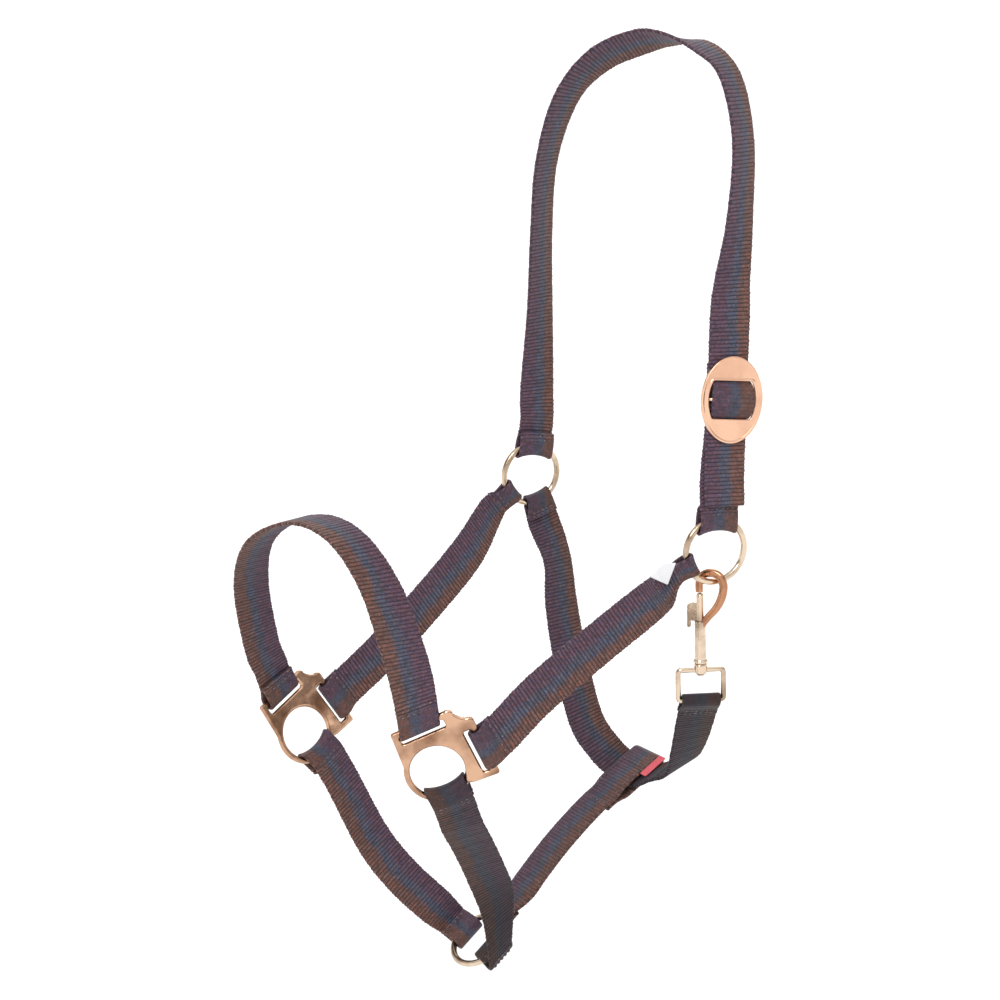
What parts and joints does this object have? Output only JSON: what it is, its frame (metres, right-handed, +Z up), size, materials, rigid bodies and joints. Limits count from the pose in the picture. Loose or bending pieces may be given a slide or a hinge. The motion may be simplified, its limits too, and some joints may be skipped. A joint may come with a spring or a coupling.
{
  "type": "webbing headcollar",
  "caption": "Ribbed webbing headcollar with metal rings, square fittings, a crown slide and a throat snap, shaped as if worn",
  "frame": {"origin": "under the middle of the crown strap, where it rests on the horse's poll", "axes": "+Z up, -X towards the nose, -Y towards the near (left) side of the horse"},
  "size_m": [0.3141, 0.1918, 0.5773],
  "materials": {
    "webbing": "ribbed polyester webbing, dark with rust, slate and mauve stripes",
    "hardware": "satin rose gold plating",
    "spring": "bright spring wire",
    "label": "plain white satin tape",
    "tab": "red woven tab"
  },
  "bodies": {
    "headcollar": {"crown_strap": "webbing", "adjuster_strap": "webbing", "near_cheek_strap": "webbing", "far_cheek_strap": "webbing", "noseband": "webbing", "near_chin_strap": "webbing", "far_chin_strap": "webbing", "jowl_strap": "webbing", "throat_strap": "webbing", "near_square": "hardware", "far_square": "hardware", "swivel_eye": "hardware", "care_label": "label", "throat_tab": "tab"},
    "near_cheek_ring": {"near_ring": "hardware"},
    "far_cheek_ring": {"far_ring": "hardware"},
    "lead_ring": {"chin_ring": "hardware"},
    "slide": {"crown_slide": "hardware", "slide_webbing": "webbing"},
    "hook": {"snap_hook": "hardware", "swivel_pin": "hardware", "bolt_spring": "spring"},
    "bolt": {"snap_bolt": "hardware"}
  },
  "joints": [
    {"name": "near_ring_turn", "type": "hinge", "parent": "headcollar", "child": "near_cheek_ring", "pos_m": [-0.018, -0.086, -0.2975], "axis": [-0.2588, -0.9659, 0], "continuous": true},
    {"name": "far_ring_turn", "type": "hinge", "parent": "headcollar", "child": "far_cheek_ring", "pos_m": [-0.029, 0.085, -0.283], "axis": [-0.1736, -0.9848, 0], "continuous": true},
    {"name": "chin_ring_turn", "type": "hinge", "parent": "headcollar", "child": "lead_ring", "pos_m": [-0.133, 0, -0.557], "axis": [-0.5736, 0, 0.8191], "continuous": true},
    {"name": "crown_slide_travel", "type": "slide", "parent": "headcollar", "child": "slide", "axis": [-0.0843, -0.0843, -0.9929], "range_m": [-0.008, 0.015]},
    {"name": "snap_swivel", "type": "hinge", "parent": "headcollar", "child": "hook", "pos_m": [-0.0214, -0.0796, -0.37], "axis": [-0.0289, 0.0195, 0.9994], "range_deg": [-14, 3]},
    {"name": "snap_bolt_travel", "type": "slide", "parent": "hook", "child": "bolt", "axis": [0.0289, -0.0195, -0.9994], "range_m": [0, 0.0065], "stiffness_N_per_m": 600, "springref_m": -0.004, "deforming": ["bolt_spring"]}
  ]
}
